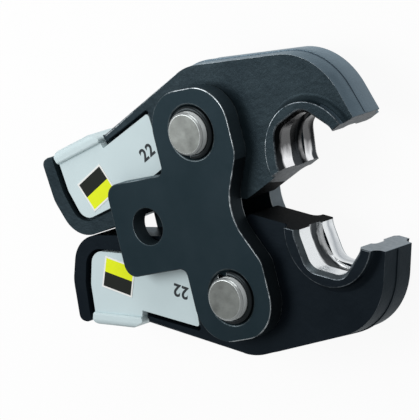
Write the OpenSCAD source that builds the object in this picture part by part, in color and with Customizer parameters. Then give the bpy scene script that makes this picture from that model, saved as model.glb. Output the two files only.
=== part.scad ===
// Press fitting tool jaw: two forged levers on two pins between two side plates.
// Frame: origin on the axis of the retaining bolt, half way between the plates,
// +X towards the mouth, +Z out of the front plate. Both levers are drawn closed
// and are then turned open about their pins.

/* [Side plates] */
// Distance between the two lever pins
pin_pitch = 54; // [50:0.5:58]
// Distance from the retaining bolt back to the line of the pins
bolt_setback = 27; // [24:0.5:29]
// Diameter of the hole for the retaining bolt
bolt_hole_d = 12; // [8:0.5:13]
// Thickness of each side plate
plate_t = 6; // [4:0.5:8]
// Width of the slot between the plates
plate_gap = 14; // [12:0.5:18]
// Distance from the line of the pins to the rear end of the tab
tab_reach = 40.7; // [38:0.1:45]
// Width of the rear tab
tab_w = 30.6; // [26:0.2:32]
// Radius of the tab's rear corners
tab_corner_r = 4.5; // [2:0.5:8]
// Width of the round lobes about the pins
lobe_w = 31.4; // [29:0.2:33]
// Height of a lobe beyond its pin
lobe_top = 14; // [13.5:0.1:16]
// Radius of the lobes' outer corners
lobe_corner_r = 12.5; // [9:0.5:13]
// Distance from the line of the pins to the front edge at the waist
waist_reach = 8.6; // [7:0.1:10]
// Radius of the hollow front edge
waist_r = 17; // [12:0.5:19]
// Radius of the inner corners between tab and lobes
notch_r = 2.6; // [1:0.1:3.5]

/* [Pins and rings] */
// Diameter of the lever pins
pin_d = 14; // [12:0.5:16]
// Height of a pin's end above the plate
pin_proud = 3.4; // [2.5:0.1:4.5]
// Chamfer at the ends of the pins
pin_chamfer = 0.6; // [0.3:0.1:1]
// Radial running clearance of the levers on their pins
pin_clearance = 0.05; // [0.02:0.01:0.09]
// Wire thickness of the snap rings
ring_wire = 2; // [1.4:0.1:2.4]
// Depth of the ring grooves in the pins
ring_bite = 0.45; // [0.3:0.05:0.6]
// Opening of each snap ring in degrees
ring_opening = 26; // [16:1:40]

/* [Levers] */
// Angle through which each lever has been opened
open_angle = 21; // [15:0.5:22]
// Side clearance between a lever and each plate
side_clearance = 0.1; // [0.05:0.05:0.3]
// Space left between the levers where they meet
meeting_gap = 0.3; // [0.2:0.05:0.6]
// Distance from the line of the pins to the tips of the jaws
tip_reach = 55.6; // [54.5:0.1:58]
// Height of the straight back of a lever above the closing plane
back_h = 47.1; // [46:0.1:49]
// Slope of the lever's straight back in degrees
back_slope = 1.2; // [0:0.1:2]
// Radius of the curved nose of a jaw
nose_r = 24; // [20:0.5:26]
// Slope of the jaw between shoulder and nose in degrees
nose_slope = 24; // [20:0.5:26]
// Distance of that slope from the middle of the line of the pins
nose_line = 45.6; // [44.5:0.1:47]
// Draft of the forged outer wall on each side of its parting line
forging_draft = 0.5; // [0.2:0.05:0.8]
// Height of the trimmed parting ridge
ridge_h = 0.3; // [0.15:0.05:0.5]
// Width of the trimmed parting ridge
ridge_w = 1.6; // [1:0.1:2.4]

/* [Press profile] */
// Distance from the line of the pins to the centre of the closed profile
profile_reach = 34.5; // [34:0.1:35.5]
// Width across the flats of the hexagonal lands
land_flats = 22.6; // [21:0.1:23.4]
// Width of the bead groove between the lands
groove_w = 6.8; // [5:0.1:8]
// Radius of the bead groove
groove_r = 13.4; // [13:0.1:14]
// Depth of the lead-in chamfer at both faces
lead_in = 1.7; // [1:0.1:2.2]
// Growth of the flats over the lead-in
lead_in_rise = 1.1; // [0.6:0.1:1.4]
// Height of the raised collar above the jaw's face
collar_proud = 3.4; // [2:0.1:4]
// Outer radius of the collar
collar_r = 17.3; // [17:0.1:17.8]
// Radius of the hollow between collar and face
collar_fillet_r = 2.4; // [1:0.1:2.8]

/* [Lever arms] */
// Distance from the line of the pins to the ends of the arms
arm_reach = 68.7; // [67:0.1:71]
// Radius of the arms' inner rear corners
toe_r = 10.5; // [9:0.5:12]
// Slope of the roller track in degrees
track_slope = 12.5; // [11:0.5:14]
// Width of the rim round the arm's end
rim_w = 4.3; // [3:0.1:5]
// Width of the rib along the arm's back
rib_w = 3.6; // [2.5:0.1:4]
// Radius of the boss round the pin inside the arm's pocket
boss_r = 19.8; // [18:0.1:20.5]
// Thickness of the web between the two pockets
web_t = 7; // [5:0.5:9]
// Distance from the line of the pins to the end of the back rib
rib_end = 37.8; // [36:0.1:40]

/* [Grips] */
// Distance of the grip's cheeks below the faces of the arm
grip_recess = 0.5; // [0.3:0.1:1]
// Space between the grip and the end rim of its pocket
grip_end_gap = 1.9; // [1:0.1:2.4]
// Space between the grip and the long sides of its pocket
grip_side_gap = 1.1; // [0.5:0.1:1.4]
// Clearance of the grip on the web
grip_fit = 0.1; // [0.05:0.05:0.3]
// Height of the thumb roll above the web's edge
roll_h = 4.3; // [3.5:0.1:5]
// Slope of the thumb roll in degrees
roll_slope = 8.5; // [6:0.5:10]
// Distance of the thumb roll beyond each face of the arm
roll_proud = 0.7; // [0.4:0.1:1.2]
// Radius of the roll's long edges
roll_r = 2.2; // [1:0.1:2.6]
// Diameter of the snap pegs of the grip
peg_d = 6; // [4:0.5:8]
// Thickness of the labels
label_t = 0.15; // [0.1:0.05:0.25]

/* [Spring] */
// Distance from the line of the pins to the spring's seats
spring_setback = 13; // [12:0.1:14]
// Outer diameter of the closing spring
spring_d = 8; // [7:0.1:8.6]
// Wire thickness of the closing spring
spring_wire = 1.2; // [0.9:0.1:1.4]
// Number of turns of the closing spring
spring_turns = 7; // [5:1:9]
// Radial clearance of the spring in its seats
spring_clearance = 0.5; // [0.3:0.1:0.8]
// Depth of the seats below the roller track
spring_seat_depth = 6; // [4:0.5:7]

/* [Hidden] */

$fn = 96;
steel_dark = "#39454d";
steel_plate = "#3d4a52";
steel_bright = "#c3c7ca";
plastic_pale = "#c6d7da";
label_yellow = "#eef05a";

// Thicknesses and levels measured from the middle plane
plate_inner = plate_gap / 2;
plate_face = plate_inner + plate_t;
lever_t = plate_gap - 2 * side_clearance;
lever_face = lever_t / 2;
collar_face = lever_face + collar_proud;
web_face = web_t / 2;
grip_face = lever_face - grip_recess;
closing_plane = meeting_gap / 2;
pin_x = bolt_setback;
pin_y = pin_pitch / 2;
cut = 1;
far = 200;

// Helpers for outlines with rounded corners. A corner is [x, y, radius].
function unit(v) = v / norm(v);
function turn(a, b, c) = (b.x - a.x) * (c.y - b.y) - (b.y - a.y) * (c.x - b.x);
function spun(v, angle) = [v.x * cos(angle) - v.y * sin(angle), v.x * sin(angle) + v.y * cos(angle)];
function flat(c) = [c.x, c.y];
function before(c, i) = flat(c[(i + len(c) - 1) % len(c)]);
function after(c, i) = flat(c[(i + 1) % len(c)]);
function to_before(c, i) = unit(before(c, i) - flat(c[i]));
function to_after(c, i) = unit(after(c, i) - flat(c[i]));
function half_angle(c, i) = acos(to_before(c, i) * to_after(c, i)) / 2;
function tangent(c, i) = c[i].z / tan(half_angle(c, i));
function arc_start(c, i) = flat(c[i]) + to_before(c, i) * tangent(c, i);
function arc_end(c, i) = flat(c[i]) + to_after(c, i) * tangent(c, i);
function inward(c, i) = unit(to_before(c, i) + to_after(c, i));
function arc_centre(c, i) = flat(c[i]) + inward(c, i) * c[i].z / sin(half_angle(c, i));
function is_round(c, i) = c[i].z > 0;
function is_convex(c, i) = turn(before(c, i), flat(c[i]), after(c, i)) > 0;

function arc_sweep(c, i) = 180 - 2 * half_angle(c, i);
function arc_steps(c, i, sag) = ceil(arc_sweep(c, i) / (2 * acos(1 - sag / c[i].z)));
function arc_points(c, i, sag) = let (
    centre = arc_centre(c, i),
    from = arc_start(c, i) - centre,
    n = arc_steps(c, i, sag),
    sweep = is_convex(c, i) ? arc_sweep(c, i) : -arc_sweep(c, i))
    [for (k = [0 : n]) centre + spun(from, sweep * k / n)];

// Outline of straight lines and arcs through corners listed counter-clockwise.
// sag is the most that an arc's steps may lie inside the true arc.
module smooth_outline(c, sag = 0.012) {
    polygon([for (i = [0 : len(c) - 1]) each is_round(c, i) ? arc_points(c, i, sag) : [flat(c[i])]]);
}

module slab(bottom, top) {
    translate([0, 0, bottom]) linear_extrude(top - bottom) children();
}

module mirrored_y() {
    children();
    mirror([0, 1, 0]) children();
}

module mirrored_z() {
    children();
    mirror([0, 0, 1]) children();
}

// Side plates
waist_tilt = 28;
lobe_shoulder_r = 8;
waist_centre_x = waist_reach + waist_r;
waist_end = [waist_centre_x - waist_r * cos(waist_tilt), waist_r * sin(waist_tilt)];
lobe_edge_x = lobe_w / 2;
lobe_meet_y = waist_end.y + (lobe_edge_x - waist_end.x) / tan(waist_tilt);
waist_corner_x = waist_end.x - waist_end.y * tan(waist_tilt);

upper_half_plate = [
    [lobe_edge_x, lobe_meet_y, lobe_shoulder_r],
    [lobe_edge_x, pin_y + lobe_top, lobe_corner_r],
    [-lobe_edge_x, pin_y + lobe_top, lobe_corner_r],
    [-lobe_edge_x, tab_w / 2, notch_r],
    [-tab_reach, tab_w / 2, tab_corner_r]
];

lower_half_plate = [for (i = [len(upper_half_plate) - 1 : -1 : 0])
    [upper_half_plate[i].x, -upper_half_plate[i].y, upper_half_plate[i].z]];

module plate_outline() {
    difference() {
        smooth_outline(concat([[waist_corner_x, 0, waist_r]], upper_half_plate, lower_half_plate));
        translate([-bolt_setback, 0]) circle(d = bolt_hole_d);
        mirrored_y() translate([0, pin_y]) circle(d = pin_d);
    }
}

ring_mid_r = pin_d / 2 - ring_bite + ring_wire / 2;
ring_z = plate_face - 0.15;
ring_seat_gap = 0.05;
recess_r = ring_mid_r + sqrt(2) * (ring_wire / 2 + ring_seat_gap) + plate_face - ring_z;
recess_depth = recess_r - pin_d / 2 - 0.8;

module side_plate() {
    translate([bolt_setback, 0, 0])
    difference() {
        slab(plate_inner, plate_face) plate_outline();
        mirrored_y() translate([0, pin_y, plate_face - recess_depth])
            cylinder(h = recess_depth + cut, r1 = recess_r - recess_depth, r2 = recess_r + cut);
    }
}

module front_side_plate() {
    color(steel_plate) side_plate();
}

module rear_side_plate() {
    color(steel_plate) mirror([0, 0, 1]) side_plate();
}

// Pins and snap rings
module pivot_pin(side) {
    end = plate_face + pin_proud;
    groove_mid_r = ring_mid_r;
    color(steel_bright) translate([pin_x, side * pin_y, 0])
    rotate_extrude() difference() {
        polygon([[0, -end], [pin_d / 2 - pin_chamfer, -end], [pin_d / 2, -end + pin_chamfer],
            [pin_d / 2, end - pin_chamfer], [pin_d / 2 - pin_chamfer, end], [0, end]]);
        for (level = [-ring_z, ring_z]) translate([groove_mid_r, level]) circle(d = ring_wire);
    }
}

module snap_ring(side, level, gap_direction) {
    color(steel_bright) translate([pin_x, side * pin_y, level])
    rotate([0, 0, gap_direction + ring_opening / 2])
    rotate_extrude(angle = 360 - ring_opening) translate([ring_mid_r, 0]) circle(d = ring_wire, $fn = 32);
}

upper_gap_direction = -118;
lower_gap_direction = 96;

module upper_pivot_pin() pivot_pin(1);
module lower_pivot_pin() pivot_pin(-1);
module upper_front_snap_ring() snap_ring(1, ring_z, upper_gap_direction);
module upper_rear_snap_ring() snap_ring(1, -ring_z, lower_gap_direction);
module lower_front_snap_ring() snap_ring(-1, ring_z, lower_gap_direction);
module lower_rear_snap_ring() snap_ring(-1, -ring_z, upper_gap_direction);

// Levers, drawn closed with the middle of the pin line at the origin
function closed_from_open(p) = [0, pin_y] + spun(p - [0, pin_y], -open_angle);
toe_length = 12.5;
arm_toe_x = arm_reach - toe_length;
toe_centre = closed_from_open([-arm_toe_x, closing_plane + toe_r]);
track_dir = [cos(track_slope), -sin(track_slope)];
track_start = toe_centre + toe_r * [-sin(track_slope), -cos(track_slope)];
function on_track(x) = [x, track_start.y + (x - track_start.x) * track_dir.y / track_dir.x];
hub_throat_x = 1;
hub_heel_x = -9;
nose_dir = [cos(nose_slope), -sin(nose_slope)];
nose_normal = [sin(nose_slope), cos(nose_slope)];
nose_corner = [tip_reach, (nose_line - nose_normal.x * tip_reach) / nose_normal.y];
shoulder_corner = [(nose_line - nose_normal.y * back_h) / nose_normal.x, back_h];
function back_y(x) = back_h + (x - shoulder_corner.x) * tan(back_slope);
shoulder_r = 20;
arm_top_rise = 4.2;
arm_top_inset = 3.2;
arm_bulge = 0.3;
arm_top_r = 2.2;
rib_end_r = 1.6;
hub_heel_r = 6;
hub_throat_r = 2.5;
small_r = 0.8;
roll_dir = [cos(roll_slope), -sin(roll_slope)];
roll_up = [-roll_dir.y, roll_dir.x];
web_drop = 3.2;
web_top = [-rib_end, back_h - web_drop];
function on_web_top(x) = [x, web_top.y + (x - web_top.x) * roll_dir.y / roll_dir.x];
// A point of the arm by its distance from the line of the pins, as a share of the arm's length,
// and by its height between the track and the web's edge, as a share of that too
function in_arm(along, up) = let (x = -along * arm_reach)
    [x, on_track(x).y + up * (on_web_top(x).y - on_track(x).y)];
arm_top = [-arm_reach + arm_top_inset, back_h + arm_top_rise];
arm_heel = on_track(-arm_reach);
arm_end_h = arm_top.y - arm_heel.y;
arm_bend = [-arm_reach - arm_bulge, arm_heel.y + 0.545 * arm_end_h];
arm_bulge_r = 0.4 * arm_end_h;
rim_top_x = arm_top.x + rim_w;
arm_notch = on_web_top(rim_top_x + small_r);

lever_corners = [
    [tip_reach, closing_plane, small_r],
    [nose_corner.x, nose_corner.y, nose_r],
    [shoulder_corner.x, shoulder_corner.y, shoulder_r],
    [-rib_end, back_y(-rib_end), rib_end_r],
    [web_top.x, web_top.y, small_r],
    [arm_notch.x, arm_notch.y, small_r],
    [rim_top_x, arm_top.y, arm_top_r],
    [arm_top.x, arm_top.y, arm_top_r],
    [arm_bend.x, arm_bend.y, arm_bulge_r],
    [arm_heel.x, arm_heel.y, toe_r],
    [hub_heel_x, on_track(hub_heel_x).y, hub_heel_r],
    [hub_throat_x, closing_plane, hub_throat_r]
];

// The outer wall of the head: wedges that give it draft from its parting ridge to each face
module wall_wedge_profile() {
    polygon([[0, ridge_w / 2], [ridge_h, ridge_w / 2], [cut, ridge_w / 2], [cut, lever_face + cut],
        [-forging_draft, lever_face + cut], [-forging_draft, lever_face], [-ridge_h, ridge_w / 2]]);
}

// A straight wedge runs a little past both ends, into the curved ones beside it
wedge_lap = 0.02;
module straight_wedge(from, to) {
    along = unit(to - from);
    translate(from - along * wedge_lap) rotate([0, 0, atan2(along.y, along.x)]) rotate([90, 0, 90])
        linear_extrude(norm(to - from) + 2 * wedge_lap) mirror([1, 0]) wall_wedge_profile();
}

module arc_wedge(i, from_angle, sweep) {
    translate(arc_centre(lever_corners, i)) rotate([0, 0, from_angle])
        rotate_extrude(angle = sweep) translate([lever_corners[i].z, 0]) wall_wedge_profile();
}

module head_draft() {
    straight_wedge([tip_reach, -cut], arc_start(lever_corners, 1));
    arc_wedge(1, 0, 90 - nose_slope);
    straight_wedge(arc_end(lever_corners, 1), arc_start(lever_corners, 2));
    arc_wedge(2, 90 - nose_slope, nose_slope + back_slope);
    straight_wedge(arc_end(lever_corners, 2), [-rib_end - cut, back_y(-rib_end - cut)]);
}

module lever_outline() {
    smooth_outline(lever_corners);
}

module half_plane_above() {
    translate([-far / 2, closing_plane]) square([far, far]);
}

// Collar round the press profile, with a hollow fillet down to the face
collar_sag = 1.6;
module collar() {
    translate([profile_reach, -collar_sag, 0]) rotate_extrude() collar_section();
}

module collar_section() {
    foot_r = collar_r + collar_fillet_r;
    difference() {
        polygon([[0, -collar_face], [collar_r, -collar_face], [collar_r, -lever_face - collar_fillet_r],
            [foot_r, -lever_face], [foot_r, lever_face],
            [collar_r, lever_face + collar_fillet_r], [collar_r, collar_face], [0, collar_face]]);
        for (side = [-1, 1])
            translate([foot_r, side * (lever_face + collar_fillet_r)]) circle(collar_fillet_r);
    }
}

// Hexagonal press profile with rounded corners, a bead groove and lead-ins
function hexagon(flats, r) = [for (i = [0 : 5]) [flats / sqrt(3) * cos(60 * i), flats / sqrt(3) * sin(60 * i), r]];
hex_corner_r = 5.5;
groove_corner_r = 2;
lead_in_lap = 0.4;
lead_in_slope = lead_in_rise / lead_in;
lead_in_h = lead_in + lead_in_lap + cut;
lead_in_flats = land_flats - 2 * lead_in_slope * lead_in_lap;
module press_profile() {
    translate([profile_reach, 0, 0]) {
        slab(-collar_face - cut, collar_face + cut) smooth_outline(hexagon(land_flats, hex_corner_r), 0.03);
        mirrored_z() translate([0, 0, collar_face - lead_in - lead_in_lap])
            linear_extrude(lead_in_h, scale = (lead_in_flats + 2 * lead_in_slope * lead_in_h) / lead_in_flats)
                smooth_outline(hexagon(lead_in_flats, hex_corner_r), 0.03);
        rotate_extrude() smooth_outline([[0, -groove_w / 2, 0], [groove_r, -groove_w / 2, groove_corner_r],
            [groove_r, groove_w / 2, groove_corner_r], [0, groove_w / 2, 0]], 0.05);
    }
}

// Pockets for the grip on both faces of the arm
pocket_toe_r = 6.5;
pocket_heel_r = 2.5;
pocket_bend_r = 20;
pocket_bend_rim = 5.4;
pocket_heel_rim = 10.6;
pocket_toe = on_track(-arm_reach + rim_w) + [0, rim_w];
pocket_bend = on_track(-0.64 * arm_reach) + [0, pocket_bend_rim];
pocket_heel_x = -24;
pocket_heel = on_track(pocket_heel_x) + [3, pocket_heel_rim];
pocket_top_y = back_h - rib_w;
pocket_lean = 5;
pocket_side_x = arm_bend.x + rim_w + 2 * arm_bulge;
pocket_corners = [
    [pocket_toe.x, pocket_toe.y, pocket_toe_r],
    [pocket_bend.x, pocket_bend.y, pocket_bend_r],
    [pocket_heel.x, pocket_heel.y, pocket_heel_r],
    [pocket_heel.x + pocket_lean, pocket_top_y, 1],
    [-rib_end - small_r, pocket_top_y, 0],
    [-rib_end - small_r, far / 2, 0],
    [rim_top_x, far / 2, 0],
    [rim_top_x, arm_top.y - 1, pocket_toe_r],
    [pocket_side_x, arm_bend.y, arm_bulge_r]
];

module pocket_outline() {
    difference() {
        smooth_outline(pocket_corners);
        translate([0, pin_y]) circle(boss_r);
    }
}

spring_tilt = open_angle / 2;
spring_seat_r = spring_d / 2 + spring_clearance;
spring_foot = on_track(-spring_setback);

// Blind seat for the closing spring, square to the closing plane at half opening
module spring_seat() {
    translate([spring_foot.x, spring_foot.y, 0]) rotate([0, 0, -spring_tilt]) rotate([-90, 0, 0])
        translate([0, 0, -spring_seat_depth]) cylinder(h = 2 * spring_seat_depth, r = spring_seat_r);
}

peg_place = in_arm(0.67, 0.55);

module lever() {
    difference() {
        union() {
            difference() {
                slab(-lever_face, lever_face) lever_outline();
                mirrored_z() slab(web_face, lever_face + cut) pocket_outline();
                mirrored_z() head_draft();
            }
            intersection() {
                collar();
                slab(-collar_face, collar_face) half_plane_above();
            }
        }
        press_profile();
        spring_seat();
        translate([0, pin_y, -far / 2]) cylinder(h = far, r = pin_d / 2 + pin_clearance);
        translate([peg_place.x, peg_place.y, -far / 2]) cylinder(h = far, d = peg_d + 2 * grip_fit);
    }
}

// Puts a piece that is drawn closed on the upper lever into the open row frame
module on_upper_lever() {
    translate([pin_x, pin_y, 0]) rotate([0, 0, open_angle]) translate([0, -pin_y, 0]) children();
}

module on_lower_lever() {
    mirror([0, 1, 0]) on_upper_lever() children();
}

module upper_jaw() {
    color(steel_dark) on_upper_lever() lever();
}

module lower_jaw() {
    color(steel_dark) on_lower_lever() lever();
}

// Grips: one moulding with two cheeks in the pockets and a thumb roll over the arm's back
roll_rim_gap = 1.4;
roll_rib_gap = 2.8;
roll_start = on_web_top(rim_top_x + roll_rim_gap);
roll_end = on_web_top(-rib_end - roll_rib_gap);
roll_length = norm(roll_end - roll_start);
roll_overlap = 2;
cheek_end = roll_start + roll_up * roll_overlap;
cheek_step_x = -rib_end - roll_rib_gap;
cheek_step = on_web_top(cheek_step_x) + [0, small_r];
cheek_bend_r = arm_bulge_r - rim_w;
cheek_corners = [
    [pocket_toe.x + grip_end_gap, pocket_toe.y + grip_side_gap / 2, pocket_toe_r - grip_end_gap],
    [pocket_bend.x, pocket_bend.y + grip_side_gap, pocket_bend_r],
    [pocket_heel.x - grip_side_gap, pocket_heel.y + grip_side_gap, pocket_heel_r],
    [pocket_heel.x + pocket_lean - grip_side_gap, pocket_top_y - grip_side_gap, 1],
    [cheek_step_x, pocket_top_y - grip_side_gap, 0],
    [cheek_step.x, cheek_step.y, 0],
    [cheek_end.x, cheek_end.y, small_r],
    [pocket_side_x + grip_end_gap, arm_bend.y, cheek_bend_r]
];

module cheek_outline() {
    difference() {
        smooth_outline(cheek_corners);
        translate([0, pin_y]) circle(boss_r + grip_side_gap);
    }
}

// Section of the roll across its length, seen from its far end
module roll_section() {
    half = lever_face + roll_proud;
    smooth_outline([[roll_h, -half, roll_r], [roll_h, half, roll_r],
        [grip_fit, half, small_r], [grip_fit, -half, small_r]]);
}

// Outline of the roll along the arm, with a rounded rear end and a sloping front end
roll_front_slope = 4.2;
roll_front_foot = 1.2;
module roll_side() {
    translate(roll_start) rotate(-roll_slope) smooth_outline([[0, 0, 0], [roll_length, 0, 0],
        [roll_length + roll_front_foot, roll_h * 0.35, small_r],
        [roll_length - roll_front_slope, roll_h, roll_h / 2], [-small_r, roll_h, roll_h / 2]]);
}

module thumb_roll() {
    intersection() {
        translate(roll_start - roll_h * roll_dir) rotate([0, 0, -roll_slope]) rotate([90, 0, 90])
            linear_extrude(roll_length + 2 * roll_h) roll_section();
        slab(-far / 2, far / 2) roll_side();
    }
}

// Grooves across the roll that give the thumb a hold
serration_pitch = 1.4;
serration_r = 0.5;
serration_depth = 0.3;
serration_margin = 2.2;
serration_count = floor((roll_length - roll_front_slope - 2 * serration_margin) / serration_pitch) + 1;
module serrations() {
    for (i = [0 : serration_count - 1]) {
        place = roll_start + roll_dir * (serration_margin + serration_pitch * i)
            + roll_up * (roll_h + serration_r - serration_depth);
        translate([place.x, place.y, -far / 2]) cylinder(h = far, r = serration_r, $fn = 24);
    }
}

module grip() {
    difference() {
        union() {
            mirrored_z() slab(web_face + grip_fit, grip_face) cheek_outline();
            thumb_roll();
            mirrored_z() translate([peg_place.x, peg_place.y, grip_fit])
                cylinder(h = web_face + small_r, d = peg_d);
        }
        serrations();
    }
}

module upper_grip() {
    color(plastic_pale) on_upper_lever() grip();
}

module lower_grip() {
    color(plastic_pale) on_lower_lever() grip();
}

// Labels on the front cheeks
label_size = [12.4, 9.4];
label_centre = in_arm(0.742, 0.55);
label_turn = 4;
label_corner_r = 0.4;

module label() {
    half = label_size / 2;
    translate([label_centre.x, label_centre.y, 0]) rotate([0, 0, label_turn])
        slab(grip_face, grip_face + label_t) smooth_outline([[-half.x, -half.y, label_corner_r],
            [half.x, -half.y, label_corner_r], [half.x, half.y, label_corner_r], [-half.x, half.y, label_corner_r]]);
}

module upper_label() {
    color(label_yellow) on_upper_lever() label();
}

module lower_label() {
    color(label_yellow) on_lower_lever() label();
}

// Closing spring: a coil whose centre line is an arc between the two seats
function open_from_closed(p) = [0, pin_y] + spun(p - [0, pin_y], open_angle);
spring_end_tilt = open_angle - spring_tilt;
seat_direction = [-sin(spring_end_tilt), cos(spring_end_tilt)];
spring_floor = open_from_closed(spring_foot) + seat_direction * (spring_seat_depth - spring_wire / 2 - 0.1);
spring_bow_r = spring_floor.y / sin(spring_end_tilt);
spring_steps = 16;
spring_sides = 8;
spring_mid_r = (spring_d - spring_wire) / 2;
spring_rings = spring_turns * spring_steps;

function spring_axis(t) = let (a = spring_end_tilt * (2 * t - 1))
    [spring_floor.x - spring_bow_r * cos(spring_end_tilt) + spring_bow_r * cos(a), spring_bow_r * sin(a)];
function spring_radial(t) = let (a = spring_end_tilt * (2 * t - 1), b = 360 * spring_turns * t)
    [cos(a) * cos(b), sin(a) * cos(b), sin(b)];
function spring_point(t) = let (p = spring_axis(t)) [p.x, p.y, 0] + spring_mid_r * spring_radial(t);
function spring_ring(t) = let (a = spring_end_tilt * (2 * t - 1), out = spring_radial(t), up = [-sin(a), cos(a), 0])
    [for (k = [0 : spring_sides - 1]) let (c = 360 * k / spring_sides)
        spring_point(t) + spring_wire / 2 * (cos(c) * out + sin(c) * up)];

module closing_spring() {
    points = [for (i = [0 : spring_rings]) each spring_ring(i / spring_rings)];
    n = spring_sides;
    sides = [for (i = [0 : spring_rings - 1]) for (k = [0 : n - 1])
        [i * n + k, i * n + (k + 1) % n, (i + 1) * n + (k + 1) % n, (i + 1) * n + k]];
    first = [for (k = [n - 1 : -1 : 0]) k];
    last = [for (k = [0 : n - 1]) spring_rings * n + k];
    color(steel_bright) translate([bolt_setback, 0, 0]) polyhedron(points, concat(sides, [first, last]));
}

front_side_plate();
rear_side_plate();
upper_pivot_pin();
lower_pivot_pin();
upper_front_snap_ring();
upper_rear_snap_ring();
lower_front_snap_ring();
lower_rear_snap_ring();
closing_spring();
upper_jaw();
lower_jaw();
upper_grip();
lower_grip();
upper_label();
lower_label();
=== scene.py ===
import bpy, bmesh
from math import cos, sin, radians, sqrt, pi
from mathutils import Matrix, Vector


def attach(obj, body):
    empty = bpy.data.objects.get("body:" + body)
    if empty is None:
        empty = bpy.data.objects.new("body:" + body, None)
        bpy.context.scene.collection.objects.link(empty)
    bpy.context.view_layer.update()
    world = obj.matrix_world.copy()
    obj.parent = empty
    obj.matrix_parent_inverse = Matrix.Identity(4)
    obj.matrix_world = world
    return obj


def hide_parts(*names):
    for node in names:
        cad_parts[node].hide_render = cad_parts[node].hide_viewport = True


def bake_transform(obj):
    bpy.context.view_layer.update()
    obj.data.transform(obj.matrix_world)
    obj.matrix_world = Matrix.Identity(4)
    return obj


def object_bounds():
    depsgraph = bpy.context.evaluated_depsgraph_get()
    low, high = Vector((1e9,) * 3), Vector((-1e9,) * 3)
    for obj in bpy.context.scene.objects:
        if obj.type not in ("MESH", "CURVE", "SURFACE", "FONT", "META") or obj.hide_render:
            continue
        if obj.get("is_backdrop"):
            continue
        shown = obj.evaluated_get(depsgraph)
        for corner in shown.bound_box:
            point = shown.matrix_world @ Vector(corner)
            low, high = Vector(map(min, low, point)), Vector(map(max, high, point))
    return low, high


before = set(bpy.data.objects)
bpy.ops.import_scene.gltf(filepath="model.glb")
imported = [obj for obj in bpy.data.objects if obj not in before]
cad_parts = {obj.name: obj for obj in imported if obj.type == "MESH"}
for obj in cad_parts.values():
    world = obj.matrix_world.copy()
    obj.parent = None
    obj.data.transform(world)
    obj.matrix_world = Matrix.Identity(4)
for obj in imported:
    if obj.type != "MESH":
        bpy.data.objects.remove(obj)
sizes = {"cad": [[float(v) for v in c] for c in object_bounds()]}

scene = bpy.context.scene
MM = 0.001
IN_MM = 1 / MM

# Sizes and places in millimetres. The levers are drawn closed: x runs forward from the line of the
# pins, and y up from the plane in which the two levers meet
PIN_X, PIN_Y = 27.0, 27.0
OPEN = radians(21)
BORE = (34.5, 0.0)
BORE_REACH = 15.0
COLLAR_REACH = 19.0

# Heights above the middle plane
RIDGE_EDGE = 0.8
GRIP_FACE = 6.4
GRIP_STEP = 6.5
LEVER_FACE = 6.9
ROLL_END = 7.6
LEAD_IN_START = 8.4
COLLAR_FACE = 10.3
PLATE_FACE = 13.0
PIN_SHOULDER = 15.8
PIN_END = 16.4

# Where the ground mating face of the upper jaw begins at mid height, and how far it slants over the thickness
MATE_START = 10.0
MATE_SLANT = 0.36

# The outer walls of a lever: its straight back, the slope down to the nose, and the round nose
ARM_NOTCH_X, SHOULDER_X, BACK_Y = -38, 8, 45.4
SLOPE_START_X, SLOPE_NORMAL, SLOPE_REACH = 6, (0.4067, 0.9135), 44.3
NOSE_START_X, NOSE_CENTRE, NOSE_R, TIP_X = 31, (31.6, 9.6), 22.9, 48


def lever_matrix(side):
    """From the closed drawing to the row frame; side is 1 for the upper lever and -1 for the lower."""
    m = (Matrix.Scale(MM, 4) @ Matrix.Translation((PIN_X, PIN_Y, 0)) @ Matrix.Rotation(OPEN, 4, "Z")
         @ Matrix.Translation((0, -PIN_Y, 0)))
    return m if side > 0 else Matrix.Scale(-1, 4, (0, 1, 0)) @ m


def add_object(name, mesh):
    ob = bpy.data.objects.new(name, mesh)
    scene.collection.objects.link(ob)
    return ob


# Camera at the photograph's angle, worked out from the pins, the bolt's hole and the plate's outline.
# Its lengths are in units of the distance between the bolt and the line of the pins
UNIT = PIN_X * MM
SCALE_PX = 85.244
DISTANCE = 95.122
YAW, PITCH, ROLL = 0.71112, 0.066054, 0.238378
LOOK_PX = (211.07, 215.19)
FRAME_PX = 420
SENSOR_MM = 36


def make_camera():
    cy, sy, cp, sp, cr, sr = cos(YAW), sin(YAW), cos(PITCH), sin(PITCH), cos(ROLL), sin(ROLL)
    ry = Matrix(((cy, 0, -sy), (0, 1, 0), (sy, 0, cy)))
    rx = Matrix(((1, 0, 0), (0, cp, -sp), (0, sp, cp)))
    rz = Matrix(((cr, -sr, 0), (sr, cr, 0), (0, 0, 1)))
    rows = rz @ rx @ ry
    right = -(LOOK_PX[0] - FRAME_PX / 2) / SCALE_PX
    up = (LOOK_PX[1] - FRAME_PX / 2) / SCALE_PX
    target = Vector((PIN_X * MM, 0, PLATE_FACE * MM))
    place = target + rows.transposed() @ (Vector((right, up, DISTANCE)) * UNIT)
    data = bpy.data.cameras.new("camera")
    data.sensor_width = SENSOR_MM
    data.lens = SCALE_PX * DISTANCE / FRAME_PX * SENSOR_MM
    data.clip_start = 0.1
    data.clip_end = 20
    cam = add_object("camera", data)
    cam.matrix_world = Matrix.Translation(place) @ rows.transposed().to_4x4()
    scene.camera = cam


make_camera()


# Materials
def new_material(name):
    mat = bpy.data.materials.new(name)
    mat.use_nodes = True
    nodes = mat.node_tree.nodes
    return mat, nodes, mat.node_tree.links, nodes["Principled BSDF"]


def object_coord(nodes):
    return nodes.new("ShaderNodeTexCoord").outputs["Object"]


def noise(nodes, links, coord, scale, detail, rough):
    n = nodes.new("ShaderNodeTexNoise")
    n.inputs["Scale"].default_value = scale
    n.inputs["Detail"].default_value = detail
    n.inputs["Roughness"].default_value = rough
    links.new(coord, n.inputs["Vector"])
    return n.outputs["Fac"]


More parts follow.
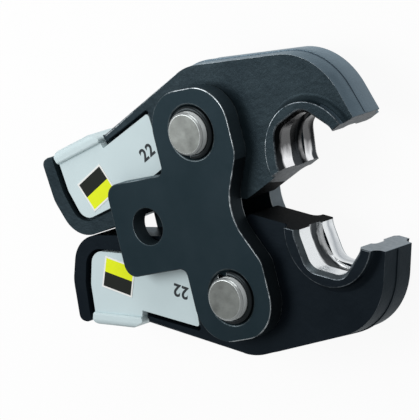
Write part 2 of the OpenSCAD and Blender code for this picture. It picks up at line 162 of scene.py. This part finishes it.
def ramp(nodes, links, fac, stops):
    """A colour ramp; each stop is a position with a grey value or a colour."""
    r = nodes.new("ShaderNodeValToRGB")
    els = r.color_ramp.elements
    while len(els) < len(stops):
        els.new(0.5)
    for el, (pos, col) in zip(els, stops):
        el.position = pos
        el.color = (col, col, col, 1) if isinstance(col, (int, float)) else (*col, 1)
    links.new(fac, r.inputs["Fac"])
    return r.outputs["Color"]


def calc(nodes, links, operation, *inputs):
    """A math node; each input is a number or another node's output."""
    n = nodes.new("ShaderNodeMath")
    n.operation = operation
    for socket, value in zip(n.inputs, inputs):
        if isinstance(value, (int, float)):
            socket.default_value = value
        else:
            links.new(value, socket)
    return n.outputs[0]


def span(nodes, links, value, start, end):
    """The share of the way from start to end that value has gone, kept between 0 and 1."""
    n = nodes.new("ShaderNodeMapRange")
    n.inputs["From Min"].default_value = start
    n.inputs["From Max"].default_value = end
    links.new(value, n.inputs["Value"])
    return n.outputs[0]


def bump(nodes, links, height, strength, distance, below=None):
    b = nodes.new("ShaderNodeBump")
    b.inputs["Strength"].default_value = strength
    b.inputs["Distance"].default_value = distance
    links.new(height, b.inputs["Height"])
    if below is not None:
        links.new(below, b.inputs["Normal"])
    return b.outputs["Normal"]


# Painted highlight: depth over which the upper lever's outer wall takes on its lighter rear colour, in metres
LIT_REAR_START, LIT_REAR_END = 0.004, -0.006
BLUE_SHEEN = (0.58, 0.84, 1.0, 1)


def blasted_steel(name, dark, light, rough, grain=1.0, metallic=0.3, specular=0.25, rear=None):
    """Blackened, blasted steel with a coarse and a fine grain; rear is a painted highlight colour that takes
    over behind.
    """
    mat, nodes, links, bsdf = new_material(name)
    co = object_coord(nodes)
    cloud = noise(nodes, links, co, 60, 4, 0.6)
    tone = ramp(nodes, links, cloud, [(0.3, dark), (0.7, light)])
    # Painted highlight: the rear colour is mixed in with depth
    if rear:
        split = nodes.new("ShaderNodeSeparateXYZ")
        links.new(co, split.inputs[0])
        mix = nodes.new("ShaderNodeMix")
        mix.data_type = "RGBA"
        links.new(span(nodes, links, split.outputs["Z"], LIT_REAR_START, LIT_REAR_END), mix.inputs["Factor"])
        links.new(tone, mix.inputs["A"])
        mix.inputs["B"].default_value = (*rear, 1)
        tone = mix.outputs["Result"]
    links.new(tone, bsdf.inputs["Base Color"])
    bsdf.inputs["Specular Tint"].default_value = BLUE_SHEEN
    fine = noise(nodes, links, co, 1700, 3, 0.6)
    links.new(ramp(nodes, links, fine, [(0.3, rough[0]), (0.7, rough[1])]), bsdf.inputs["Roughness"])
    bsdf.inputs["Metallic"].default_value = metallic
    bsdf.inputs["Specular IOR Level"].default_value = specular
    coarse = noise(nodes, links, co, 420, 3, 0.55)
    pitted = bump(nodes, links, coarse, 0.3 * grain, 0.0002)
    links.new(bump(nodes, links, fine, 0.35 * grain, 0.00006, pitted), bsdf.inputs["Normal"])
    return mat


def worn_edge(name, dark, bright, scale):
    """A rounded edge whose dark coat is rubbed through to bright steel in spots and stretches."""
    mat, nodes, links, bsdf = new_material(name)
    co = object_coord(nodes)
    spots = noise(nodes, links, co, scale, 5, 0.75)
    reach = noise(nodes, links, co, 110, 2, 0.5)
    wear = calc(nodes, links, "MULTIPLY", calc(nodes, links, "ADD", spots, reach), 0.5)
    links.new(ramp(nodes, links, wear, [(0.44, dark), (0.58, bright)]), bsdf.inputs["Base Color"])
    links.new(ramp(nodes, links, wear, [(0.35, 0.42), (0.65, 0.28)]), bsdf.inputs["Roughness"])
    bsdf.inputs["Metallic"].default_value = 0.8
    return mat


def fine_polish(nodes, links, co, bsdf, rough):
    fine = noise(nodes, links, co, 900, 2, 0.5)
    links.new(ramp(nodes, links, fine, [(0.3, rough[0]), (0.7, rough[1])]), bsdf.inputs["Roughness"])
    links.new(bump(nodes, links, fine, 0.12, 0.00004), bsdf.inputs["Normal"])


def polished_steel(name, base, rough, metallic=1.0, smears=0.82):
    """Machined steel; smears is how dark its smeared places are against the base colour."""
    mat, nodes, links, bsdf = new_material(name)
    co = object_coord(nodes)
    smear = noise(nodes, links, co, 160, 3, 0.6)
    low = tuple(c * smears for c in base)
    links.new(ramp(nodes, links, smear, [(0.3, low), (0.7, base)]), bsdf.inputs["Base Color"])
    bsdf.inputs["Metallic"].default_value = metallic
    fine_polish(nodes, links, co, bsdf, rough)
    return mat


def moulded_plastic(name, low, high):
    mat, nodes, links, bsdf = new_material(name)
    co = object_coord(nodes)
    tone = noise(nodes, links, co, 35, 3, 0.5)
    links.new(ramp(nodes, links, tone, [(0.35, low), (0.65, high)]), bsdf.inputs["Base Color"])
    grain = noise(nodes, links, co, 1500, 3, 0.6)
    links.new(ramp(nodes, links, grain, [(0.3, 0.5), (0.7, 0.62)]), bsdf.inputs["Roughness"])
    bsdf.inputs["Specular IOR Level"].default_value = 0.35
    links.new(bump(nodes, links, grain, 0.18, 0.00005), bsdf.inputs["Normal"])
    return mat


def printed_film(name, base, rough=0.35, specular=0.4):
    mat, nodes, links, bsdf = new_material(name)
    tone = noise(nodes, links, object_coord(nodes), 260, 3, 0.6)
    low = tuple(c * 0.93 for c in base)
    links.new(ramp(nodes, links, tone, [(0.2, low), (0.8, base)]), bsdf.inputs["Base Color"])
    links.new(ramp(nodes, links, tone, [(0.3, rough), (0.7, rough + 0.08)]), bsdf.inputs["Roughness"])
    bsdf.inputs["Specular IOR Level"].default_value = specular
    return mat


# Painted reflections: light and dark bands of the bore, from 0 at the rear end to 1 at the front end, and how
# far they waver
REFLECTED_DIM, REFLECTED_MID = (0.04, 0.045, 0.05), (0.40, 0.43, 0.46)
REFLECTED_CLEAR = {1: (0.92, 0.93, 0.95), -1: (0.80, 0.83, 0.85)}
REFLECTION_BANDS = {
    1: [(0.15, REFLECTED_DIM), (0.19, REFLECTED_CLEAR[1]), (0.33, REFLECTED_CLEAR[1]), (0.38, REFLECTED_DIM),
        (0.60, REFLECTED_DIM), (0.65, REFLECTED_CLEAR[1]), (0.88, REFLECTED_CLEAR[1]), (0.92, REFLECTED_DIM)],
    -1: [(0.05, REFLECTED_DIM), (0.10, REFLECTED_CLEAR[-1]), (0.20, REFLECTED_MID), (0.30, REFLECTED_CLEAR[-1]),
         (0.36, REFLECTED_CLEAR[-1]), (0.41, REFLECTED_DIM), (0.54, REFLECTED_DIM), (0.60, REFLECTED_CLEAR[-1])],
}
REFLECTION_WAVER = 0.22
# Painted shade: angles round the axis between which the upper bore is painted darker, in radians from its
# top, and how dark it gets
SHADE_START, SHADE_END, SHADE_WAVER, SHADE_LEFT = -1.42, -1.05, 0.6, 0.12


def bore_steel(name, side):
    """Polished bore, with painted reflections as soft light and dark bands that follow the press profile
    round its axis, and painted shade on the upper bore.
    """
    mat, nodes, links, bsdf = new_material(name)
    co = object_coord(nodes)
    from_axis = nodes.new("ShaderNodeVectorMath")
    from_axis.operation = "SUBTRACT"
    from_axis.inputs[1].default_value = lever_matrix(side) @ Vector((*BORE, 0))
    links.new(co, from_axis.inputs[0])
    split = nodes.new("ShaderNodeSeparateXYZ")
    links.new(from_axis.outputs[0], split.inputs[0])
    inward = calc(nodes, links, "MULTIPLY", split.outputs["Y"], side)
    turn = calc(nodes, links, "ARCTAN2", split.outputs["X"], inward)
    along = calc(nodes, links, "MULTIPLY_ADD", split.outputs["Z"], 1 / (2 * COLLAR_FACE * MM), 0.5)
    unrolled = nodes.new("ShaderNodeCombineXYZ")
    links.new(turn, unrolled.inputs["X"])
    links.new(calc(nodes, links, "MULTIPLY", along, 5.0), unrolled.inputs["Y"])
    waver = noise(nodes, links, unrolled.outputs[0], 1.3, 3, 0.55)
    centred = calc(nodes, links, "SUBTRACT", along, REFLECTION_WAVER / 2)
    place = calc(nodes, links, "MULTIPLY_ADD", waver, REFLECTION_WAVER, centred)
    tone = ramp(nodes, links, place, REFLECTION_BANDS[side])
    # Painted shade on the upper bore, by the angle round its axis
    if side > 0:
        fade = calc(nodes, links, "MULTIPLY_ADD", waver, SHADE_WAVER, turn)
        shade = ramp(nodes, links, span(nodes, links, fade, SHADE_START, SHADE_END),
                     [(0.0, 1.0), (1.0, SHADE_LEFT)])
        both = nodes.new("ShaderNodeMix")
        both.data_type = "RGBA"
        both.blend_type = "MULTIPLY"
        both.inputs["Factor"].default_value = 1
        links.new(tone, both.inputs["A"])
        links.new(shade, both.inputs["B"])
        tone = both.outputs["Result"]
    links.new(tone, bsdf.inputs["Base Color"])
    bsdf.inputs["Metallic"].default_value = 1
    fine_polish(nodes, links, co, bsdf, (0.24, 0.34))
    return mat


# Painted light and shade: the two levers differ in tone, the upper painted lighter and the lower darker, as
# light comes from the upper left
FORGED_LIT_AND_SHADED = {
    1: blasted_steel("forged_steel_upper_painted_lit", (0.007, 0.013, 0.017), (0.020, 0.031, 0.037), (0.34, 0.50),
                     grain=2.4, specular=0.21),
    -1: blasted_steel("forged_steel_lower_painted_shade", (0.003, 0.005, 0.008), (0.006, 0.009, 0.013), (0.36, 0.50),
                      specular=0.10),
}
# Painted light and shade on the outer walls: the upper lever's wall is painted lighter, with a lighter
# painted highlight towards its rear, and the lower's darker
WALL_LIT_AND_SHADED = {
    1: blasted_steel("forged_wall_upper_painted_lit", (0.040, 0.060, 0.078), (0.080, 0.112, 0.138), (0.28, 0.42),
                     grain=1.4, metallic=0.4, specular=0.8, rear=(0.12, 0.155, 0.185)),
    -1: blasted_steel("forged_wall_lower_painted_shade", (0.006, 0.010, 0.014), (0.014, 0.020, 0.026), (0.44, 0.56),
                      metallic=0.1, specular=0.1),
}
BORES = {1: bore_steel("bore_steel_upper_painted_reflections", 1), -1: bore_steel("bore_steel_lower_painted_reflections", -1)}
# Painted light and shade on the ground mating faces: the lower lever's, at the tip, is painted much lighter
# than the upper's
MACHINED_LIT_AND_SHADED = {
    1: polished_steel("machined_steel_upper_painted_shade", (0.05, 0.068, 0.082), (0.46, 0.58), metallic=0.3),
    -1: polished_steel("machined_steel_lower_painted_lit", (0.185, 0.23, 0.265), (0.34, 0.46), metallic=0.6),
}
LEAD_IN = blasted_steel("lead_in_steel", (0.03, 0.038, 0.043), (0.08, 0.095, 0.105), (0.3, 0.45), grain=1.6)
# Painted shade: near-black steel for the mating faces that are not ground, where they lie in shade
MATE_PAINTED_SHADE = blasted_steel("mate_painted_shade", (0.002, 0.0025, 0.003), (0.004, 0.005, 0.006), (0.6, 0.7),
                          grain=0.6, metallic=0.0, specular=0.03)
# Rubbed edges in two copies: real wear in both, with painted highlight in the lighter copy and painted shade
# in the darker
FORGED_WORN_LIT = worn_edge("forged_edge_worn_painted_lit", (0.05, 0.07, 0.085), (0.44, 0.49, 0.52), 900)
FORGED_WORN_SHADED = worn_edge("forged_edge_worn_painted_shade", (0.016, 0.023, 0.028), (0.11, 0.13, 0.145), 700)

PLATE = blasted_steel("plate_steel", (0.007, 0.016, 0.021), (0.012, 0.022, 0.028), (0.36, 0.46),
                      grain=0.35, specular=0.15)
PLATE_WORN = worn_edge("plate_edge_worn", (0.06, 0.075, 0.085), (0.40, 0.44, 0.46), 400)
PLATE_DULL = worn_edge("plate_edge_dull", (0.015, 0.025, 0.030), (0.07, 0.09, 0.10), 400)
PLATE_WALL = blasted_steel("plate_wall", (0.022, 0.034, 0.041), (0.034, 0.050, 0.060), (0.36, 0.46),
                           grain=0.35)
# Painted shade for the front plate's wall near the mouth, and painted light for the rear plate's waist
PLATE_WALL_SHADED = blasted_steel("plate_wall_painted_shade", (0.006, 0.009, 0.011), (0.012, 0.016, 0.019), (0.4, 0.5),
                           grain=0.35, specular=0.1)
PLATE_WAIST_LIT = blasted_steel("plate_waist_painted_lit", (0.11, 0.135, 0.15), (0.23, 0.265, 0.29), (0.4, 0.5), grain=0.8)

PIN_STEEL = polished_steel("pin_steel", (0.20, 0.215, 0.205), (0.34, 0.44), metallic=0.8, smears=0.55)
# Painted highlight: the pins' chamfers and sides are painted lighter than their ends
PIN_EDGE_LIT = polished_steel("pin_edge_painted_highlight", (0.45, 0.48, 0.48), (0.28, 0.36), metallic=0.8)
PIN_SIDE_LIT = polished_steel("pin_side_painted_highlight", (0.80, 0.85, 0.85), (0.45, 0.55), metallic=0.1, smears=0.9)
RING_STEEL = polished_steel("ring_steel", (0.022, 0.028, 0.031), (0.28, 0.38), metallic=0.8)
# Painted highlight on the rounded edges of the snap rings
RING_EDGE_LIT = polished_steel("ring_edge_painted_highlight", (0.52, 0.56, 0.57), (0.25, 0.35), metallic=0.8)
SPRING_STEEL = polished_steel("spring_steel", (0.35, 0.36, 0.37), (0.25, 0.35))

PLASTIC = moulded_plastic("grip_plastic", (0.55, 0.665, 0.69), (0.60, 0.72, 0.745))
INK = printed_film("mark_ink", (0.03, 0.038, 0.042), 0.5, 0.15)
FILM_WHITE = printed_film("label_white", (0.86, 0.87, 0.85))
FILM_YELLOW = printed_film("label_yellow", (0.80, 0.90, 0.01), specular=0.15)
FILM_DARK = printed_film("label_dark", (0.012, 0.015, 0.012), 0.5, 0.12)


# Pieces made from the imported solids, with small rounded edges.
# Angles from which an edge counts as one to round, and from which it is shaded as sharp
ROUND_FROM = radians(28)
SHARP_FROM = radians(35)
# Edges flatter than this are joined into one face
FLAT_WITHIN = radians(0.7)
# Widest rounding, in mm, that Blender still narrows where short edges stand in its way
NARROWED_UP_TO = 0.5
# Shortest neighbour, in metres, next to which an edge is rounded
SHORTEST = 0.00011
# How near, in mm, a corner has to be to a height to belong to it
LEVEL_FUZZ = 0.07
# Slot that the faces made by rounding take, where a piece has more than one material
ROUNDED_SLOT = 1


def round_edges(bm, width, levels, region, slot):
    """Rounds the outward edges at the heights in levels for which region is true; None stands for all."""
    chosen = []
    for e in bm.edges:
        if len(e.link_faces) != 2 or not e.is_convex or e.calc_face_angle(0) < ROUND_FROM:
            continue
        heights = [abs(v.co.z) / MM for v in e.verts]
        if levels is not None and not any(max(abs(h - z) for h in heights) < LEVEL_FUZZ for z in levels):
            continue
        if region is None or region((e.verts[0].co + e.verts[1].co) * (IN_MM / 2)):
            if min(x.calc_length() for v in e.verts for x in v.link_edges) > SHORTEST:
                chosen.append(e)
    bmesh.ops.bevel(bm, geom=chosen, offset=width * MM, offset_type="OFFSET", segments=2, profile=0.6,
                    affect="EDGES", clamp_overlap=width < NARROWED_UP_TO, material=slot)
    bm.normal_update()


def even_normals(ob):
    """Shading in which the large flat faces stay flat and the small rounded ones carry the bend."""
    mod = ob.modifiers.new("even_normals", "WEIGHTED_NORMAL")
    mod.keep_sharp = True
    mod.weight = 80
    bpy.context.view_layer.update()
    me = bpy.data.meshes.new_from_object(ob.evaluated_get(bpy.context.evaluated_depsgraph_get()))
    ob.modifiers.clear()
    ob.data = me


def everything(bm):
    return list(bm.verts) + list(bm.edges) + list(bm.faces)


# Behind this x, in metres in the row frame, the levers' faces have longer edges and are welded more freely
ARMS_BEHIND = -0.002


def dressed(name, body, mats, rounds, pick=None, edge_pick=None, cut=None):
    """A copy of a node's shape. Each entry of rounds is a width in mm, the heights of the edges and a region.
    pick and edge_pick choose the slot of a face and of a rounded edge; cut is a plane that splits faces."""
    bm = bmesh.new()
    bm.from_mesh(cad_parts[name].data)
    bmesh.ops.remove_doubles(bm, verts=bm.verts, dist=3e-6)
    bmesh.ops.dissolve_limit(bm, angle_limit=FLAT_WITHIN, verts=bm.verts, edges=bm.edges,
                             use_dissolve_boundaries=False)
    bmesh.ops.dissolve_degenerate(bm, dist=0.05 * MM, edges=bm.edges)
    bm.normal_update()
    if cut:
        bmesh.ops.bisect_plane(bm, geom=everything(bm), dist=1e-6, plane_co=cut[0], plane_no=cut[1])
    for f in bm.faces:
        f.material_index = pick(f.calc_center_median() * IN_MM, f.normal) if pick else 0
    at_face = [v for v in bm.verts if abs(abs(v.co.z) / MM - LEVER_FACE) < 0.05]
    head = [v for v in at_face if v.co.x > ARMS_BEHIND]
    arm = [v for v in at_face if v.co.x < ARMS_BEHIND]
    bmesh.ops.remove_doubles(bm, verts=head, dist=0.07 * MM)
    bmesh.ops.remove_doubles(bm, verts=arm, dist=0.2 * MM)
    for width, levels, region in rounds:
        round_edges(bm, width, levels, region, ROUNDED_SLOT if len(mats) > 1 else -1)
    if edge_pick:
        for f in bm.faces:
            if f.material_index == ROUNDED_SLOT:
                f.material_index = edge_pick(f.calc_center_median() * IN_MM)
    me = bpy.data.meshes.new(name + "_look")
    bm.to_mesh(me)
    bm.free()
    for m in mats:
        me.materials.append(m)
    me.polygons.foreach_set("use_smooth", [True] * len(me.polygons))
    me.set_sharp_from_angle(angle=SHARP_FROM)
    ob = add_object(name + "_look", me)
    even_normals(ob)
    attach(ob, body)
    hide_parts(name)


def jaw_place(side, centre):
    """A point of a jaw in the closed drawing, and how far it is from the bore's axis."""
    p = lever_matrix(side).inverted() @ (centre * MM)
    return p, sqrt((p.x - BORE[0]) ** 2 + (p.y - BORE[1]) ** 2)


# Slots of a jaw, in the order of jaw_materials
FACE, WORN_LIT, IN_BORE, GROUND, OUTER, WORN_SHADED, LEAD, MATE_SHADE = range(8)


def jaw_materials(side):
    return [FORGED_LIT_AND_SHADED[side], FORGED_WORN_LIT, BORES[side], MACHINED_LIT_AND_SHADED[side],
            WALL_LIT_AND_SHADED[side], FORGED_WORN_SHADED, LEAD_IN, MATE_PAINTED_SHADE]


def mate_cut(side):
    """Plane across the jaw where its ground mating face begins."""
    at = lever_matrix(side)
    return at @ Vector((MATE_START, 0, 0)), (at.to_3x3() @ Vector((1, 0, -MATE_SLANT))).normalized()


def on_outer_wall(p):
    back = ARM_NOTCH_X < p.x < SHOULDER_X and p.y > BACK_Y
    slope = p.x > SLOPE_START_X and SLOPE_NORMAL[0] * p.x + SLOPE_NORMAL[1] * p.y > SLOPE_REACH
    past_nose_arc = (p.x - NOSE_CENTRE[0]) ** 2 + (p.y - NOSE_CENTRE[1]) ** 2 > NOSE_R ** 2
    return back or slope or p.x > TIP_X or p.x > NOSE_START_X and past_nose_arc


def jaw_faces(side):
    turn = lever_matrix(side).inverted().to_3x3()

    def pick(centre, normal):
        p, r = jaw_place(side, centre)
        n = (turn @ normal).normalized()
        if r < BORE_REACH and abs(n.z) < 0.93 and p.y > 0.3:
            return LEAD if side < 0 and abs(p.z) > LEAD_IN_START else IN_BORE
        # Mating faces: the ground part takes the machined steel, the rest the painted shade
        if p.y < 0.6 and n.y < -0.9:
            return GROUND if p.x > (MATE_START + MATE_SLANT * p.z if side > 0 else BORE[0]) else MATE_SHADE
        if (abs(n.z) < 0.3 or abs(p.z) < 1.5) and on_outer_wall(p):
            return OUTER
        return FACE

    return pick


def on_rim_bar(p):
    return -39 < p.x < -12 and p.y > 43.5


# Painted light and shade on rounded edges: the upper lever's edges on its head, collar and rim bar take the
# lighter worn copy, the others the darker one
def jaw_edges(side):
    def pick(centre):
        p, r = jaw_place(side, centre)
        if r < BORE_REACH and abs(p.z) < 9.5:
            return IN_BORE
        if r < COLLAR_REACH and p.y > 0.2:
            return WORN_LIT if side > 0 and r > BORE_REACH and p.x < BORE[0] else WORN_SHADED
        if abs(p.z) < 1.5:
            return OUTER
        on_head = p.x > 8 and p.y > 8 or p.x > 46 and p.y > 0.4
        return WORN_LIT if side > 0 and p.z > 0 and (on_head or on_rim_bar(p)) else WORN_SHADED

    return pick


def head_rim(side):
    def region(centre):
        p = jaw_place(side, centre)[0]
        return p.x > 2 and (p.y > 20 or p.x > 46)
    return region


def rim_bar(side):
    return lambda centre: on_rim_bar(jaw_place(side, centre)[0])


# Slots of a side plate, in the order of PLATE_MATERIALS
P_FACE, P_WORN, P_DULL, P_WALL, P_WAIST_LIT, P_WALL_SHADE = range(6)
PLATE_MATERIALS = [PLATE, PLATE_WORN, PLATE_DULL, PLATE_WALL, PLATE_WAIST_LIT, PLATE_WALL_SHADED]


def plate_faces(centre, normal):
    """Painted light and shade: the rear plate's waist, lit through the mouth, is painted lighter; the front
    plate's wall near the mouth, which faces away from the light, is painted darker.
    """
    if abs(normal.z) >= 0.3:
        return P_FACE
    if centre.z < 0:
        return P_WAIST_LIT if centre.x > 30 and abs(centre.y) < 7 else P_WALL
    return P_WALL_SHADE if centre.x > 20 and centre.y < 14 else P_WALL


def plate_edges(centre):
    from_pins = min(sqrt((centre.x - PIN_X) ** 2 + (centre.y - y) ** 2) for y in (-PIN_Y, PIN_Y))
    return P_WORN if centre.x > 22 and from_pins >= 12.5 else P_DULL


# Slots of a pin, in the order of PIN_MATERIALS
END, CHAMFER, SIDE = range(3)
PIN_MATERIALS = [PIN_STEEL, PIN_EDGE_LIT, PIN_SIDE_LIT]


def pin_faces(centre, normal):
    if abs(normal.z) > 0.95 or abs(centre.z) < PLATE_FACE:
        return END
    return CHAMFER if abs(normal.z) > 0.5 else SIDE


for side, name, body in ((1, "upper", "upper_lever"), (-1, "lower", "lower_lever")):
    dressed(name + "_jaw", body, jaw_materials(side),
            [(0.28, (RIDGE_EDGE,), None), (0.4, (LEVER_FACE,), head_rim(side)),
             (0.8, (LEVER_FACE,), rim_bar(side)), (0.3, (COLLAR_FACE,), None)],
            pick=jaw_faces(side), edge_pick=jaw_edges(side), cut=mate_cut(side))
    dressed(name + "_grip", body, [PLASTIC],
            [(0.3, (GRIP_FACE, GRIP_STEP), None), (0.4, (ROLL_END,), None)])
for name in ("front_side_plate", "rear_side_plate"):
    dressed(name, "side_frame", PLATE_MATERIALS, [(0.3, None, None)],
            pick=plate_faces, edge_pick=plate_edges)
for name in ("upper_pivot_pin", "lower_pivot_pin"):
    dressed(name, "side_frame", PIN_MATERIALS, [(0.2, (PIN_SHOULDER, PIN_END), None)],
            pick=pin_faces)
for name in ("upper_front", "upper_rear", "lower_front", "lower_rear"):
    dressed(name + "_snap_ring", "side_frame", [RING_STEEL, RING_EDGE_LIT], [(0.1, None, None)])


def spring_half(side, body):
    """One half of the spring, cut at the middle plane and closed where it is cut; body only goes into its
    name, and the half is not attached to any body.
    """
    bm = bmesh.new()
    bm.from_mesh(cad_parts["closing_spring"].data)
    bmesh.ops.remove_doubles(bm, verts=bm.verts, dist=1e-6)
    cut = bmesh.ops.bisect_plane(bm, geom=everything(bm), dist=1e-7,
                                 plane_co=(0, 0, 0), plane_no=(0, side, 0), clear_inner=True)
    rims = [e for e in cut["geom_cut"] if isinstance(e, bmesh.types.BMEdge) and len(e.link_faces) == 1]
    bmesh.ops.holes_fill(bm, edges=rims, sides=0)
    for f in bm.faces:
        f.smooth = True
    me = bpy.data.meshes.new("closing_spring_half")
    bm.to_mesh(me)
    bm.free()
    me.set_sharp_from_angle(angle=radians(50))
    me.materials.append(SPRING_STEEL)
    ob = add_object("closing_spring_" + body, me)
    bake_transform(ob)
    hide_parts("closing_spring")


spring_half(1, "upper_lever")
spring_half(-1, "lower_lever")


# Size marks and labels on the grips, in the closed drawing and in millimetres
MARK_PLACE = (-25.4, 32.2)
MARK_TURN = radians(3)
MARK_HEIGHT = 5.7
INK_T = 0.04
LABEL_PLACE = (-51, 34)
LABEL_TURN = radians(4)
LABEL_W = 12.4
LABEL_TOP, LABEL_FOOT = 4.7, -5.9
LABEL_MIDDLE = -0.7
LABEL_BORDER = 0.55
LABEL_T = 0.15


def mark(side, body):
    """The size in ink. It has to be readable on both levers, so the lower one is turned and not mirrored."""
    curve = bpy.data.curves.new("size_mark", "FONT")
    curve.body = "22"
    curve.size = MARK_HEIGHT
    curve.space_character = 1.12
    curve.align_x = "CENTER"
    curve.align_y = "CENTER"
    curve.extrude = INK_T
    curve.offset = 0.15
    text = add_object("size_mark_source", curve)
    bpy.context.view_layer.update()
    me = bpy.data.meshes.new_from_object(text.evaluated_get(bpy.context.evaluated_depsgraph_get()))
    bpy.data.objects.remove(text)
    upright = MARK_TURN if side > 0 else -(MARK_TURN + pi)
    place = (Matrix.Translation((MARK_PLACE[0], MARK_PLACE[1] * side, GRIP_FACE + INK_T))
             @ Matrix.Rotation(upright, 4, "Z"))
    opened = (Matrix.Scale(MM, 4) @ Matrix.Translation((PIN_X, PIN_Y * side, 0))
              @ Matrix.Rotation(OPEN * side, 4, "Z") @ Matrix.Translation((0, -PIN_Y * side, 0)))
    me.transform(opened @ place)
    me.materials.clear()
    me.materials.append(INK)
    ob = add_object(body + "_size_mark", me)
    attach(ob, body)


# Slots of a label; the yellow field is below the dark one
BORDER, YELLOW_FIELD, DARK_FIELD = range(3)


def label(side, node, body):
    """Film with a white edge, a plain dark field and a plain yellow field."""
    out, low, high = LABEL_W / 2, GRIP_FACE, GRIP_FACE + LABEL_T
    xs = [-out, -out + LABEL_BORDER, out - LABEL_BORDER, out]
    ys = [LABEL_FOOT, LABEL_FOOT + LABEL_BORDER, LABEL_MIDDLE, LABEL_TOP - LABEL_BORDER, LABEL_TOP]
    bm = bmesh.new()
    top = [[bm.verts.new((x, y, high)) for x in xs] for y in ys]
    foot = [[bm.verts.new((x, y, low)) for x in (xs[0], xs[-1])] for y in (ys[0], ys[-1])]
    for j in range(4):
        for i in range(3):
            f = bm.faces.new((top[j][i], top[j][i + 1], top[j + 1][i + 1], top[j + 1][i]))
            f.material_index = {1: YELLOW_FIELD, 2: DARK_FIELD}.get(j, BORDER) if i == 1 else BORDER
    a, b, c, d = foot[0][0], foot[0][1], foot[1][1], foot[1][0]
    bm.faces.new((a, d, c, b))
    bm.faces.new([a, b] + top[0][::-1])
    bm.faces.new([b, c] + [row[3] for row in top[::-1]])
    bm.faces.new([c, d] + top[4])
    bm.faces.new([d, a] + [row[0] for row in top])
    me = bpy.data.meshes.new(node + "_look")
    bm.to_mesh(me)
    bm.free()
    place = Matrix.Translation((*LABEL_PLACE, 0)) @ Matrix.Rotation(LABEL_TURN, 4, "Z")
    me.transform(lever_matrix(side) @ place)
    if side < 0:
        me.flip_normals()
    for m in (FILM_WHITE, FILM_YELLOW, FILM_DARK):
        me.materials.append(m)
    ob = add_object(node + "_look", me)
    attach(ob, body)
    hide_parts(node)


mark(1, "upper_lever")
mark(-1, "lower_lever")
label(1, "upper_label", "upper_lever")
label(-1, "lower_label", "lower_lever")


# Floor, lights and world
FLOOR_HALF = 0.6
FLOOR_GAP = 0.0001
# Share of the floor's own white that the camera and reflections see; the rest keeps the shadow
FLOOR_WHITE = 0.93


def white_for(nodes, links, rays, share, plain, white, out):
    """Shows white to the given kinds of ray and plain to all others."""
    path = nodes.new("ShaderNodeLightPath")
    seen = calc(nodes, links, "MAXIMUM", *(path.outputs[ray] for ray in rays))
    mix = nodes.new("ShaderNodeMixShader")
    links.new(calc(nodes, links, "MULTIPLY", seen, share), mix.inputs["Fac"])
    links.new(plain.outputs[0], mix.inputs[1])
    links.new(white.outputs[0], mix.inputs[2])
    links.new(mix.outputs[0], out.inputs["Surface"])


def make_floor():
    me = bpy.data.meshes.new("floor")
    z = sizes["cad"][0][2] - FLOOR_GAP
    r = FLOOR_HALF
    me.from_pydata([(-r, -r, z), (r, -r, z), (r, r, z), (-r, r, z)], [], [(0, 1, 2, 3)])
    ob = add_object("floor", me)
    mat, nodes, links, bsdf = new_material("floor")
    bsdf.inputs["Base Color"].default_value = (0.85, 0.85, 0.85, 1)
    bsdf.inputs["Roughness"].default_value = 0.9
    bsdf.inputs["Specular IOR Level"].default_value = 0.1
    glow = nodes.new("ShaderNodeEmission")
    glow.inputs["Color"].default_value = (1, 1, 1, 1)
    glow.inputs["Strength"].default_value = 1
    white_for(nodes, links, ("Is Camera Ray", "Is Glossy Ray"), FLOOR_WHITE, bsdf, glow,
              nodes["Material Output"])
    me.materials.append(mat)
    ob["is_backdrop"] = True


def make_world():
    world = bpy.data.worlds.new("world")
    scene.world = world
    world.use_nodes = True
    nodes, links = world.node_tree.nodes, world.node_tree.links
    soft = nodes["Background"]
    soft.inputs["Color"].default_value = (1, 1, 1, 1)
    soft.inputs["Strength"].default_value = 0.4
    white = nodes.new("ShaderNodeBackground")
    white.inputs["Color"].default_value = (1, 1, 1, 1)
    white.inputs["Strength"].default_value = 1
    white_for(nodes, links, ("Is Camera Ray", "Is Transmission Ray"), 1, soft, white, nodes["World Output"])


def lamp(name, place, size, power):
    """An area lamp on the object; place is right, up and towards the viewer from it, in metres."""
    axes = scene.camera.matrix_world.to_3x3()
    middle = Vector((0.02, 0, 0))
    away = axes @ Vector(place)
    data = bpy.data.lights.new(name, "AREA")
    data.shape = "SQUARE"
    data.size = size
    data.energy = power
    ob = add_object(name, data)
    ob.location = middle + away
    ob.rotation_euler = away.to_track_quat("Z", "Y").to_euler()


make_floor()
lamp("key", (-0.40, 0.02, 0.14), size=0.26, power=1.0)
lamp("top", (-0.05, 0.55, 0.30), size=0.5, power=1.8)
make_world()

scene.view_settings.view_transform = "Standard"

sizes["visual"] = [[float(v) for v in c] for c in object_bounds()]
